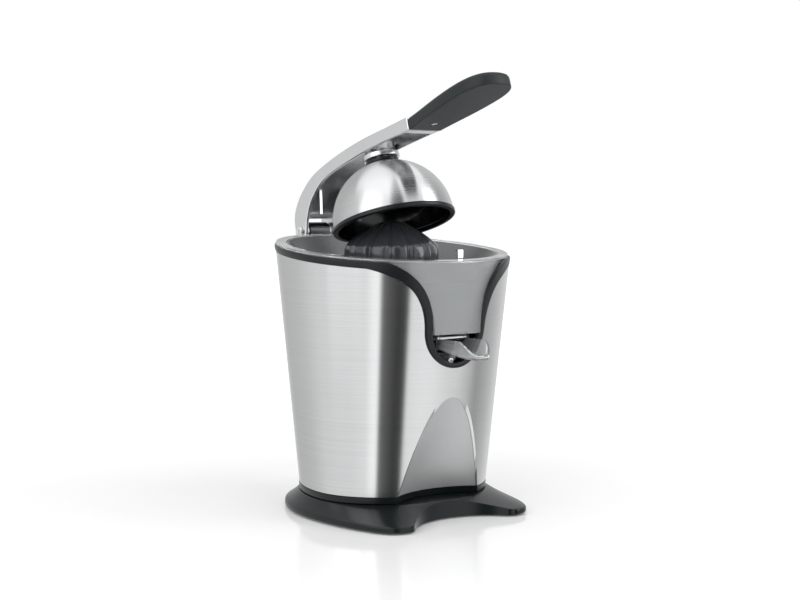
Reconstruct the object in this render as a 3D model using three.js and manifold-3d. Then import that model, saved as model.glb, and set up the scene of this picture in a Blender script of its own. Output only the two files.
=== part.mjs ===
// A lever-type electric citrus press: a tapered steel body on a black foot, a clear juice
// container with a filter bowl and a ribbed cone, and a hinged arm that presses a dome down.
// Millimetres, +Z up, the front (spout) towards -Y, the hinge towards +Y, symmetric in X.
import * as THREE from 'three';
import { mergeVertices } from 'three/addons/utils/BufferGeometryUtils.js';
import Module from 'manifold-3d';

const wasm = await Module();
wasm.setup();

// ---------------------------------------------------------------- driving dimensions
const GAP = 0.3;                 // clearance between touching pieces
const CENTRE_Y = -1.5;           // moves the whole object so that its box is centred on Y = 0
const ROUND = 44;                // sides of the egg-shaped body
const SMALL = 12;                // sides of small round pieces

// Body: an egg-shaped plan, half-widths at two heights, straight between them.
const BODY = {
  zLow: 20, zHigh: 205,
  side: [74.8, 91.8], front: [62.3, 85.5], back: [83.5, 103.5],
};
const SHELL = 1.2;               // steel wall
const SHELL_Z = 20.3;            // lower edge of the steel
const RIM_SLOPE = 0.094;         // the rim rises towards the back
const BEZEL = { top: 202.6, height: 4.9, proud: 0.7, inner: 3.0 };
const RING = { z: 204.7, height: 1.7, width: 8, side: 91.5, front: 79.6, back: 103.2 };

// Front hollow: a leaning cylinder cut into the shell, and an upright one in the foot.
const RECESS = { radius: 69.6, middleY: -41.8, lean: -0.385, top: 104, panel: 1.5 };
const FOOT_ARC = { radius: 58, middleY: -63 };
const FOOT = {
  zLow: 1.2, lip: 5.6, zTop: 14.6, side: 85.3, front: 130, cap: 88, back: 97.5, blend: 12, wall: 2.4,
};
const INLET = { z: 8.1, y: 76, length: 18.9, radius: 3.6 };
const POSTS = [[-46, 34], [46, 34], [-48, -18], [48, -18]];   // hold the motor deck and gear tray
const FEET = [[-58, -62], [58, -62], [-48, 66], [48, 66]];
const COVER_SCREWS = [[-62, -22], [62, -22], [-36, 75], [36, 75]];
const COVER = { z0: 1.6, z1: 3.6 };

const DECK_Z = 136;              // motor compartment's roof
const FLOOR_Z = 142.6;           // container's floor, underside
const WALL = 2;                  // container wall
const CONE_Y = 7.5;              // axis of the cone and the drive shaft
const CONE = { base: 183.6, radius: 37.3, ribs: 14 };
const MOTOR_Y = 44.2;            // axis of the motor
const PINION_R = 6.1;
const GEAR_R = 30.5;
const PINION_TEETH = 8;
const GEAR_TEETH = 40;

// Lever
const PIN = { y: 118.5, z: 216, radius: 3 };
const ARM = { half: 15, wall: 2.4 };
const GRIP = { half: 20.8, root: 15, length: 94, thick: 10.2, edge: 1.2, slope: 0.315 };
const DOME = { y: 3.4, z: 223.2, tilt: 0.324, radius: 48, wall: 1.2, centre: 3.6 };
const HINGE_SCREW = { x: [-9, 9], z: 186 };
const SPOUT_PIN = { y: -69, z: 139.3, radius: 1.2 };

// ---------------------------------------------------------------- solids and meshes
const finish = {
  steel: { color: 0xb9bbbd, metalness: 0.95, roughness: 0.33 },
  darkSteel: { color: 0x6d7074, metalness: 0.85, roughness: 0.35 },
  chrome: { color: 0xd9dbdd, metalness: 1.0, roughness: 0.12 },
  castMetal: { color: 0xc3c5c8, metalness: 0.9, roughness: 0.38 },
  charcoal: { color: 0x2d3235, metalness: 0.0, roughness: 0.42 },
  black: { color: 0x101214, metalness: 0.0, roughness: 0.2 },
  grip: { color: 0x2b3034, metalness: 0.0, roughness: 0.6 },
  rubber: { color: 0x151515, metalness: 0.0, roughness: 0.85 },
  clear: { color: 0xe8edef, metalness: 0.0, roughness: 0.08 },
  greyPanel: { color: 0x9fa3a6, metalness: 0.6, roughness: 0.4 },
  smoke: { color: 0x34393d, metalness: 0.0, roughness: 0.15 },
  nylon: { color: 0xe6e3d8, metalness: 0.0, roughness: 0.5 },
};

function solid(geometry, matrix = null) {
  const g = geometry.clone();
  g.deleteAttribute('normal');
  g.deleteAttribute('uv');
  if (matrix) g.applyMatrix4(matrix);
  const merged = mergeVertices(g.index ? g.toNonIndexed() : g, 1e-4);
  return new wasm.Manifold(new wasm.Mesh({
    numProp: 3,
    vertProperties: new Float32Array(merged.attributes.position.array),
    triVerts: new Uint32Array(merged.index.array),
  }));
}

const group = new THREE.Group();
group.position.y = CENTRE_Y;

function add(name, body, look) {
  const out = body.getMesh();
  const g = new THREE.BufferGeometry();
  g.setAttribute('position', new THREE.BufferAttribute(out.vertProperties, 3));
  g.setIndex(new THREE.BufferAttribute(out.triVerts, 1));
  const mesh = new THREE.Mesh(g, new THREE.MeshStandardMaterial(look));
  mesh.name = name;
  group.add(mesh);
}

const at = (x, y, z) => new THREE.Matrix4().makeTranslation(x, y, z);

function box(x0, x1, y0, y1, z0, z1) {
  const g = new THREE.BoxGeometry(x1 - x0, y1 - y0, z1 - z0);
  return solid(g, at((x0 + x1) / 2, (y0 + y1) / 2, (z0 + z1) / 2));
}

// Upright cylinder or cone frustum.
function disc(x, y, z0, z1, r0, r1 = r0, sides = SMALL) {
  const g = new THREE.CylinderGeometry(r1, r0, z1 - z0, sides);
  g.rotateX(Math.PI / 2);
  return solid(g, at(x, y, (z0 + z1) / 2));
}

// Cylinder along X.
function rod(x0, x1, y, z, r, sides = SMALL) {
  const g = new THREE.CylinderGeometry(r, r, x1 - x0, sides);
  g.rotateZ(Math.PI / 2);
  return solid(g, at((x0 + x1) / 2, y, z));
}

// A side profile drawn in (Y, Z), as thick as x0 to x1.
function sideProfile(shape, x0, x1, segments = 6) {
  const options = { depth: x1 - x0, bevelEnabled: false, curveSegments: segments };
  const g = new THREE.ExtrudeGeometry(shape, options);
  const axes = new THREE.Matrix4().makeBasis(
    new THREE.Vector3(0, 1, 0), new THREE.Vector3(0, 0, 1), new THREE.Vector3(1, 0, 0));
  return solid(g, at(x0, 0, 0).multiply(axes));
}

// A front profile drawn in (X, Z), reaching from yFront back to yBack.
function frontProfile(shape, yFront, yBack, segments = 5) {
  const g = new THREE.ExtrudeGeometry(shape,
    { depth: yBack - yFront, bevelEnabled: false, curveSegments: segments });
  const axes = new THREE.Matrix4().makeBasis(
    new THREE.Vector3(1, 0, 0), new THREE.Vector3(0, 0, 1), new THREE.Vector3(0, -1, 0));
  return solid(g, at(0, yBack, 0).multiply(axes));
}

// A plan drawn in (X, Y), as high as z0 to z1.
function planProfile(shape, z0, z1, segments = 5) {
  const options = { depth: z1 - z0, bevelEnabled: false, curveSegments: segments };
  const g = new THREE.ExtrudeGeometry(shape, options);
  return solid(g, at(0, 0, z0));
}

// Turned piece about an upright axis through (0, y); the profile closes on the axis or on itself.
function turned(profile, y, sides = 24) {
  const points = profile.map(([r, z]) => new THREE.Vector2(r, z));
  const g = new THREE.LatheGeometry(points, sides);
  g.rotateX(Math.PI / 2);
  return solid(g, at(0, y, 0));
}

// ---------------------------------------------------------------- the body's egg shape
function bodyHalf(z) {
  const t = (z - BODY.zLow) / (BODY.zHigh - BODY.zLow);
  const mix = ([low, high]) => low + (high - low) * t;
  return { side: mix(BODY.side), front: mix(BODY.front), back: mix(BODY.back) };
}

// Maps a drum of unit radius onto any pair of egg-shaped outlines.
function eggDrum(lower, upper, sides = ROUND) {
  const g = new THREE.CylinderGeometry(1, 1, 1, sides);
  g.rotateX(Math.PI / 2);
  const p = g.attributes.position;
  for (let i = 0; i < p.count; i += 1) {
    const end = p.getZ(i) < 0 ? lower : upper;
    const slope = end.slope ?? 0;
    let z = end.z;
    for (let pass = 0; pass < (slope ? 5 : 1); pass += 1) {
      const half = end.halfAt(z);
      const y = p.getY(i) * (p.getY(i) < 0 ? half.front : half.back);
      z = end.z + slope * y;
    }
    const half = end.halfAt(z);
    const reach = p.getY(i) < 0 ? half.front : half.back;
    p.setXYZ(i, p.getX(i) * half.side, p.getY(i) * reach, z);
  }
  return solid(g);
}

function insetHalf(z, inset) {
  const h = bodyHalf(z);
  return { side: h.side - inset, front: h.front - inset, back: h.back - inset };
}

// The body's outer form moved inwards by `inset`, from z0 up to z1.
function bodySolid(inset, z0, z1, slope0 = 0, slope1 = 0, insetTop = inset) {
  return eggDrum({ halfAt: (z) => insetHalf(z, inset), z: z0, slope: slope0 },
    { halfAt: (z) => insetHalf(z, insetTop), z: z1, slope: slope1 });
}

// ---------------------------------------------------------------- cut-out outlines, in (X, Z)
const OUTER_CUT = [
  [[0, 117.2], [14, 117.2], [27.5, 128], [28.2, 147]],
  [[29, 163], [36, 176], [46, 182.2]],
  [[56, 188.4], [66, 193.4], [80, 194.9]],
];
const INNER_CUT = [
  [[0, 120.7], [12, 120.7], [21.3, 131], [22, 146]],
  [[22.6, 163], [27.5, 174], [36, 183.3]],
  [[42.5, 189.5], [50, 195.2], [62, 197.6]],
];

// A flared U, closed far above the rim; `grow` moves it outwards.
function cutOutline(curves, grow = 0, top = 260) {
  const shape = new THREE.Shape();
  const wide = (x, s) => s * (x > 0 ? x + grow : 0);
  const low = (z) => z - grow;
  const [start, ...rest] = curves[0];
  shape.moveTo(0, low(start[1]));
  const spans = [rest, ...curves.slice(1)];
  for (const [a, b, c] of spans) {
    shape.bezierCurveTo(wide(a[0], 1), low(a[1]), wide(b[0], 1), low(b[1]), wide(c[0], 1), low(c[1]));
  }
  const last = spans[spans.length - 1][2];
  shape.lineTo(wide(last[0], 1), top);
  shape.lineTo(wide(last[0], -1), top);
  shape.lineTo(wide(last[0], -1), low(last[1]));
  const ends = [start, ...spans.map((s) => s[2])];
  for (let i = spans.length - 1; i >= 0; i -= 1) {
    const [a, b] = spans[i];
    const end = ends[i];
    shape.bezierCurveTo(wide(b[0], -1), low(b[1]), wide(a[0], -1), low(a[1]), wide(end[0], -1), low(end[1]));
  }
  return shape;
}

const cutPrism = (curves, grow) => frontProfile(cutOutline(curves, grow), -130, -20);

// The leaning cylinder of the front hollow, grown by `extra`.
function recessCylinder(extra, z0, z1) {
  const centreY = (z) => RECESS.middleY - RECESS.radius + RECESS.lean * (z - BODY.zLow);
  const g = new THREE.CylinderGeometry(RECESS.radius + extra, RECESS.radius + extra, z1 - z0, 44);
  g.rotateX(Math.PI / 2);
  g.translate(0, 0, (z0 + z1) / 2);
  const shear = new THREE.Matrix4().set(1, 0, 0, 0, 0, 1, RECESS.lean, centreY(0), 0, 0, 1, 0, 0, 0, 0, 1);
  return solid(g, shear);
}

// ---------------------------------------------------------------- foot
function footOutline(grow) {
  const f = FOOT;
  return (x, y) => {
    if (y >= 0) return [x * (f.side + grow), y * (f.back + grow)];
    const reach = Math.abs(y) * (f.front + grow);
    const cap = f.cap + grow;
    const blended = (reach ** -f.blend + cap ** -f.blend) ** (-1 / f.blend);
    return [x * (f.side + grow), -blended];
  };
}

function footSkirt(grow, zLow, zLip, zTop, topInset) {
  const g = new THREE.CylinderGeometry(1, 1, 1, ROUND, 2);
  g.rotateX(Math.PI / 2);
  const p = g.attributes.position;
  const outline = footOutline(grow);
  const top = insetHalf(zTop, topInset);
  for (let i = 0; i < p.count; i += 1) {
    const x = p.getX(i);
    const y = p.getY(i);
    const level = p.getZ(i);
    const upper = [x * top.side, y * (y < 0 ? top.front : top.back)];
    const [px, py] = level > 0.25 ? upper : outline(x, y);
    const z = level > 0.25 ? zTop : (level > -0.25 ? zLip : zLow);
    p.setXYZ(i, px, py, z);
  }
  return solid(g);
}

const footArc = (extra, z0, z1) => disc(0, FOOT_ARC.middleY - FOOT_ARC.radius, z0, z1,
  FOOT_ARC.radius + extra, FOOT_ARC.radius + extra, 44);

function buildFoot() {
  let foot = footSkirt(0, FOOT.zLow, FOOT.lip, FOOT.zTop, -1.2);
  foot = foot.subtract(footArc(0, -5, 30));
  let hollow = footSkirt(-FOOT.wall, -1, FOOT.lip - 1.6, FOOT.zTop - FOOT.wall, 2.2);
  hollow = hollow.subtract(footArc(FOOT.wall, -5, 30));
  foot = foot.subtract(hollow);
  // Open middle, where the motor compartment sits on the cover's posts.
  foot = foot.subtract(bodySolid(12, FOOT.zTop - 6, FOOT.zTop + 1).subtract(footArc(14, -5, 30)));
  // Posts that take the cover screws.
  for (const [x, y] of COVER_SCREWS) {
    foot = foot.add(disc(x, y, COVER.z1 + GAP, FOOT.zTop - 2, 4.5));
    foot = foot.subtract(disc(x, y, 0, 11, 1.6, 1.6, 8));
  }
  // Hole for the cord inlet at the back.
  foot = foot.subtract(screwAlongY(0, INLET.y - 10, 120, INLET.z, INLET.radius + GAP));
  add('foot_base', foot, finish.charcoal);

  let cover = footSkirt(-2.9, COVER.z0, COVER.z0 + 1, COVER.z1, -6.2);
  cover = cover.subtract(footArc(2.9, -5, 30));
  for (const [x, y] of FEET) cover = cover.subtract(disc(x, y, 0, 10, 4, 4, 16));
  for (const [x, y] of COVER_SCREWS) cover = cover.subtract(disc(x, y, 0, 10, 1.9, 1.9, 8));
  add('bottom_cover', cover, finish.black);

  FEET.forEach(([x, y], i) => {
    const pad = disc(x, y, 0, COVER.z0 - GAP, 8, 8.6);
    const stud = disc(x, y, COVER.z0 - GAP - 0.1, COVER.z1 + 1, 3.6);
    add(`rubber_foot_${i + 1}`, pad.add(stud), finish.rubber);
  });
  COVER_SCREWS.forEach(([x, y], i) => {
    const head = disc(x, y, COVER.z0 - 1.1, COVER.z0 - 0.1, 2.6, 3.2, 8);
    const shank = disc(x, y, 0.8, 9.5, 1.4, 1.4, 8);
    add(`cover_screw_${i + 1}`, head.add(shank), finish.steel);
  });

  const barrel = screwAlongY(0, INLET.y, INLET.y + INLET.length, INLET.z, INLET.radius);
  const flange = screwAlongY(0, INLET.y, INLET.y + 2, INLET.z, INLET.radius + 0.5);
  const throat = screwAlongY(0, INLET.y - 10, 120, INLET.z, 2.2);
  add('cord_inlet', barrel.add(flange).subtract(throat), finish.rubber);
}

// ---------------------------------------------------------------- shell and its trim
function buildShell() {
  const ringBand = bodySolid(-0.4, 15, 20).subtract(bodySolid(10, 14, 21));
  const frontFill = bodySolid(-0.4, 15, 20).intersect(recessCylinder(8, 5, 40));
  const frame = ringBand.add(frontFill).subtract(recessCylinder(-0.6, 5, 40));
  add('lower_frame', frame, finish.charcoal);

  const zEdge = BEZEL.top - BEZEL.height - GAP;
  let shell = bodySolid(0, SHELL_Z, zEdge, 0, RIM_SLOPE);
  shell = shell.subtract(bodySolid(SHELL, SHELL_Z - 1, zEdge + 1, 0, RIM_SLOPE));
  shell = shell.subtract(cutPrism(OUTER_CUT, GAP)).subtract(recessCylinder(0, 5, RECESS.top + 6));
  for (const x of HINGE_SCREW.x) shell = shell.subtract(screwAlongY(x, 80, 130, HINGE_SCREW.z, 1.9));
  add('steel_shell', shell, finish.steel);

  let panel = recessCylinder(GAP + RECESS.panel, SHELL_Z, RECESS.top);
  panel = panel.subtract(recessCylinder(GAP, 10, RECESS.top + 9));
  panel = panel.intersect(bodySolid(SHELL + GAP, SHELL_Z, RECESS.top));
  add('recess_panel', panel, finish.greyPanel);

  const band = (z0, z1) => bodySolid(-BEZEL.proud, z0, z1, RIM_SLOPE, RIM_SLOPE)
    .subtract(bodySolid(BEZEL.inner, z0 - 1, z1 + 1, RIM_SLOPE, RIM_SLOPE));
  const topBand = band(BEZEL.top - BEZEL.height, BEZEL.top);
  const frontBand = band(112, BEZEL.top).intersect(cutPrism(OUTER_CUT, 0));
  add('rim_bezel', topBand.add(frontBand).subtract(cutPrism(INNER_CUT, 0)), finish.charcoal);

  // Black panel across the bottom of the cut-out, dished behind the trim, with a shelf and two
  // ears that hold the spout's pin.
  let front = bodySolid(5, 114, 128.5, 0, 0, 10).subtract(bodySolid(7, 113, 129.5, 0, 0, 12));
  front = front.intersect(cutPrism(OUTER_CUT, 3));
  front = front.add(box(-18.5, 18.5, -69.6, -50, 126.8, 128.5));
  for (const side of [-1, 1]) {
    const x = side * 15;
    front = front.add(box(x - 1, x + 1, SPOUT_PIN.y - 1.9, SPOUT_PIN.y + 1.9, 127.5, SPOUT_PIN.z + 2));
    front = front.subtract(rod(x - 2, x + 2, SPOUT_PIN.y, SPOUT_PIN.z, SPOUT_PIN.radius + GAP, 12));
  }
  const screwZ = 121.6;
  front = front.subtract(screwAlongY(0, -90, -50, screwZ, 1.7));
  add('front_panel', front, finish.black);
  const head = screwAlongY(0, -69.5, -68.2, screwZ, 2.6);
  add('panel_screw', head.add(screwAlongY(0, -68.4, -62, screwZ, 1.4)), finish.chrome);
}

// Short cylinder along Y.
function screwAlongY(x, y0, y1, z, r, sides = 10) {
  const g = new THREE.CylinderGeometry(r, r, y1 - y0, sides);
  return solid(g, at(x, (y0 + y1) / 2, z));
}

// ---------------------------------------------------------------- motor compartment
function gearOutline(radius, teeth, hole, depth = 0.9) {
  const shape = new THREE.Shape();
  const steps = [[0.1, -depth], [0.35, 0], [0.65, 0], [0.9, -depth]];
  for (let i = 0; i < teeth; i += 1) {
    for (const [part, dr] of steps) {
      const a = (i + part) * 2 * Math.PI / teeth;
      const r = radius + dr;
      if (i === 0 && part === steps[0][0]) shape.moveTo(r * Math.cos(a), r * Math.sin(a));
      else shape.lineTo(r * Math.cos(a), r * Math.sin(a));
    }
  }
  const bore = new THREE.Path();
  bore.absarc(0, 0, hole, 0, 2 * Math.PI, true);
  shape.holes.push(bore);
  return shape;
}

function gear(radius, teeth, hole, y, z0, z1) {
  const g = new THREE.ExtrudeGeometry(gearOutline(radius, teeth, hole),
    { depth: z1 - z0, bevelEnabled: false, curveSegments: 10 });
  return solid(g, at(0, y, z0));
}

function buildDrive() {
  let deck = bodySolid(4, DECK_Z - 3, DECK_Z);
  deck = deck.subtract(box(-18, 18, -90, -50, DECK_Z - 5, DECK_Z + 5));
  for (const [x, y] of POSTS) {
    deck = deck.add(disc(x, y, COVER.z1 + GAP, DECK_Z - 1, 4, 4, 12));
  }
  deck = deck.subtract(disc(0, CONE_Y, 120, 150, 8.3, 8.3, 24));
  add('inner_deck', deck, finish.black);
  add('shaft_bush', disc(0, CONE_Y, 126, 141, 8, 8, 24).subtract(disc(0, CONE_Y, 100, 150, 4.3, 4.3, 16)),
    finish.nylon);

  const trayZ = 80;
  let tray = disc(0, CONE_Y, trayZ, 104, 34, 34, 32).add(disc(0, MOTOR_Y, trayZ, 104, 12, 12, 32));
  tray = tray.subtract(disc(0, CONE_Y, trayZ + 2, 110, 32, 32, 32));
  tray = tray.subtract(disc(0, MOTOR_Y, trayZ + 2, 110, 10, 10, 32));
  for (const [x, y] of POSTS.filter((post) => post[1] > 0)) {
    const arm = box(Math.min(x, 0), Math.max(x, 0), y - 4, y + 4, trayZ, trayZ + 2);
    tray = tray.add(arm.subtract(disc(x, y, 70, 90, 4.3, 4.3, 16)));
  }
  tray = tray.subtract(disc(0, CONE_Y, 70, 90, 4.3, 4.3, 16)).subtract(disc(0, MOTOR_Y, 70, 90, 3, 3, 16));
  add('gear_tray', tray, finish.nylon);

  let motor = disc(0, MOTOR_Y, 34, trayZ - GAP, 26, 26, 36).subtract(disc(0, MOTOR_Y, 60, 90, 2.9, 2.9, 16));
  motor = motor.add(disc(0, MOTOR_Y, COVER.z1 + GAP, 35, 9, 9, 20));
  add('motor', motor, finish.steel);
  const pinion = gear(PINION_R - 0.1, PINION_TEETH, 1.2, MOTOR_Y, 84, 99);
  add('motor_pinion', pinion.add(disc(0, MOTOR_Y, 66, 101, 2.4, 2.4, 16)), finish.nylon);
  let wheel = gear(GEAR_R - 0.1, GEAR_TEETH, 12, CONE_Y, 88, 94).add(disc(0, CONE_Y, 88, 99, 13, 13, 24));
  wheel = wheel.subtract(disc(0, CONE_Y, 80, 110, 4.05, 4.05, 16));
  add('drive_gear', wheel, finish.nylon);
  add('drive_shaft', disc(0, CONE_Y, 55.3, 198, 4, 4, 16), finish.steel);

  const cupZ = 52.3;
  let cup = disc(0, CONE_Y, cupZ, 61, 8.6, 8.6, 24).add(box(4, 20, 4, 11, 57, 59.7));
  cup = cup.subtract(disc(0, CONE_Y, 55, 70, 4.3, 4.3, 16));
  add('thrust_cup', cup, finish.nylon);
  const turns = 4.5;
  class Coil extends THREE.Curve {
    getPoint(t, target = new THREE.Vector3()) {
      const a = t * turns * 2 * Math.PI;
      return target.set(6.4 * Math.cos(a), CONE_Y + 6.4 * Math.sin(a), 37.4 + t * 13.4);
    }
  }
  const wire = new THREE.Shape();
  wire.absarc(0, 0, 0.7, 0, 2 * Math.PI);
  const coil = new THREE.ExtrudeGeometry(wire,
    { steps: 40, extrudePath: new Coil(), bevelEnabled: false, curveSegments: 2 });
  add('return_spring', solid(coil), finish.steel);

  let post = disc(0, CONE_Y, COVER.z1 + GAP, 36.3, 8.6, 8.6, 24).add(disc(0, CONE_Y, 36, 44, 4.6, 4.6, 16));
  post = post.add(box(5, 22, 3.5, 11.5, COVER.z1 + GAP, 36)).add(box(9.6, 22, 3.5, 11.5, 35, 40.4));
  add('spring_post', post, finish.black);
  let button = box(10.8, 22, 2, 13, 40.7, 53.3);
  button = button.subtract(disc(16.4, CONE_Y, 47, 60, 1.9, 1.9, 8));
  add('micro_switch', button, finish.black);
  add('switch_plunger', disc(16.4, CONE_Y, 50.6, 56.7, 1.6, 1.6, 8), finish.nylon);
}

// ---------------------------------------------------------------- juice container and what sits in it
const ringHalf = (inset) => ({ side: RING.side - inset, front: RING.front - inset, back: RING.back - inset });

function ringDrum(inset, zTop, height, insetLow = inset) {
  return eggDrum({ halfAt: () => ringHalf(insetLow), z: zTop - height, slope: RIM_SLOPE },
    { halfAt: () => ringHalf(inset), z: zTop, slope: RIM_SLOPE });
}

// The vessel's wall: the body's form at its floor, the ring's form at its top.
function vessel(inset, z0) {
  const low = insetHalf(FLOOR_Z, 3.4 + inset);
  const high = ringHalf(3.2 + inset);
  return eggDrum({ halfAt: () => low, z: z0 }, { halfAt: () => high, z: RING.z - 0.5, slope: RIM_SLOPE });
}

function buildContainer() {
  const paneHalf = (inset) => ({ side: 88 - inset, front: 79.6 - inset, back: 60 });
  const pane = (inset, z0, grow) => eggDrum({ halfAt: () => paneHalf(inset), z: z0 },
    { halfAt: () => paneHalf(inset), z: RING.z - 0.5, slope: RIM_SLOPE })
    .intersect(cutPrism(INNER_CUT, grow)).subtract(box(-200, 200, -40, 200, 0, 400));
  let outer = vessel(0, FLOOR_Z).add(pane(0, FLOOR_Z, -GAP - 0.1));
  const inner = vessel(WALL, FLOOR_Z + WALL).add(pane(WALL, FLOOR_Z + WALL, -GAP - 0.1 - WALL));
  const ring = ringDrum(0, RING.z, RING.height).subtract(ringDrum(RING.width, RING.z + 1, RING.height + 2));
  const chimney = disc(0, CONE_Y, FLOOR_Z, 178, 13, 13, 20);
  outer = outer.subtract(inner).subtract(ringDrum(RING.width, RING.z + 6, 12)).add(ring).add(chimney);
  outer = outer.subtract(disc(0, CONE_Y, 100, 190, 10.5, 10.5, 20));
  outer = outer.subtract(box(-10, 10, -70, -60, FLOOR_Z - 4, FLOOR_Z + 4));
  add('juice_container', outer, finish.clear);

  const bowlLow = (inset) => ({ side: 62 - inset, front: 50 - inset, back: 74 - inset });
  const bowl = (inset, z0) => eggDrum({ halfAt: () => bowlLow(inset), z: z0 },
    { halfAt: () => ringHalf(8.4 + inset), z: RING.z - 0.6 + (inset ? 1 : 0), slope: RIM_SLOPE });
  let filter = bowl(0, 179).subtract(bowl(1.4, 180.4)).subtract(disc(0, CONE_Y, 170, 190, 14.5, 14.5, 20));
  for (let i = 0; i < 12; i += 1) {
    const angle = (i + 0.5) * Math.PI / 6;
    const slot = new THREE.BoxGeometry(20, 2.4, 10);
    const turn = new THREE.Matrix4().makeRotationZ(angle);
    filter = filter.subtract(solid(slot, at(0, CONE_Y, 179).multiply(turn).multiply(at(30, 0, 0))));
  }
  add('filter_bowl', filter, finish.darkSteel);
  const tab = box(15.4, 20.6, -57.6, -56.4, 191, 204.5).add(box(15.4, 20.6, -57.6, -54.6, 203.3, 204.5));
  add('filter_tab', tab, finish.chrome);

  const { base, radius, ribs } = CONE;
  const hubTop = 198.3;
  const bore = 4.05;
  const outside = [[radius, base], [radius, 204], [36.2, 206.6], [33, 210.2], [28.5, 213.8], [23, 217.6],
    [17, 221.2], [10, 224.8], [4, 226.4], [0, 226.8]];
  let cone = turned([[bore, base], ...outside, [0, hubTop], [bore, hubTop], [bore, base]], CONE_Y);
  const below = base - 1;
  cone = cone.subtract(turned([[9, below], [34.3, below], [34.3, 202], [27, 210.4], [14, 216.5], [9, 217.5],
    [9, below]], CONE_Y));
  for (let i = 0; i < ribs; i += 1) {
    const a = i * 2 * Math.PI / ribs;
    const [x, y] = [(radius + 1.3) * Math.cos(a), CONE_Y + (radius + 1.3) * Math.sin(a)];
    cone = cone.subtract(disc(x, y, below, 212, 2.6, 2.6, 6));
  }
  add('press_cone', cone, finish.smoke);
}

function buildSpout() {
  const reach = 107;
  const root = 60;
  const straight = 92.5;         // where the rounded nose starts
  const plan = (w, nose) => {
    const shape = new THREE.Shape();
    shape.moveTo(-w, -root);
    shape.lineTo(-w, -straight);
    shape.bezierCurveTo(-w, -straight - nose * 0.6, -w * 0.6, -straight - nose, 0, -straight - nose);
    shape.bezierCurveTo(w * 0.6, -straight - nose, w, -straight - nose * 0.6, w, -straight);
    shape.lineTo(w, -root);
    return shape;
  };
  const side = new THREE.Shape();
  side.moveTo(-root, 138.9);
  side.lineTo(-root, 132.8);
  side.lineTo(-reach, 125.4);
  side.lineTo(-reach, 127.6);
  side.bezierCurveTo(3.5 - reach, 128.2, 7.5 - reach, 138.4, -straight, 138.9);
  const floorCut = new THREE.Shape();
  floorCut.moveTo(-root + 5, 150);
  floorCut.lineTo(-root + 5, 133.8);
  floorCut.lineTo(-reach - 5, 125.7);
  floorCut.lineTo(-reach - 5, 150);
  let chute = planProfile(plan(13, reach - straight), 120, 141).intersect(sideProfile(side, -14, 14, 10));
  const mouth = box(-11.4, 11.4, -70, -50, 120, 150);
  const inside = planProfile(plan(11.4, reach - straight - 1.6), 120, 150).add(mouth);
  chute = chute.subtract(inside.intersect(sideProfile(floorCut, -14, 14)));
  for (const x of [-12.2, 12.2]) {
    chute = chute.add(rod(x - 0.8, x + 0.8, SPOUT_PIN.y, SPOUT_PIN.z, 2.4, 16));
  }
  chute = chute.subtract(rod(-20, 20, SPOUT_PIN.y, SPOUT_PIN.z, SPOUT_PIN.radius + 0.1, 12));
  add('drip_spout', chute, finish.clear);
  add('spout_pin', rod(-16.6, 16.6, SPOUT_PIN.y, SPOUT_PIN.z, SPOUT_PIN.radius, 12), finish.chrome);
}

// ---------------------------------------------------------------- lever
const profile = (points) => points.map(([y, z]) => new THREE.Vector2(y, z));
const ARM_TOP = profile([[-32.8, 305.1], [-4.7, 298.2], [29.5, 289.8], [65.5, 278.2], [97.9, 264.2],
  [116.2, 249.8], [126.2, 236], [128.9, 226]]);
const ARM_LOW = profile([[109.4, 224], [105.2, 237], [98, 247.3], [87.1, 257.1], [70.9, 265.3],
  [45.1, 274], [22, 281.1], [-4.7, 287.9], [-35.8, 295.1]]);

function sampled(points, count) {
  return new THREE.SplineCurve(points).getPoints(count);
}

function offsetLine(points, distance) {
  return points.map((p, i) => {
    const before = points[Math.max(i - 1, 0)];
    const after = points[Math.min(i + 1, points.length - 1)];
    const along = after.clone().sub(before).normalize();
    return new THREE.Vector2(p.x + along.y * distance, p.y - along.x * distance);
  });
}

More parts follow.
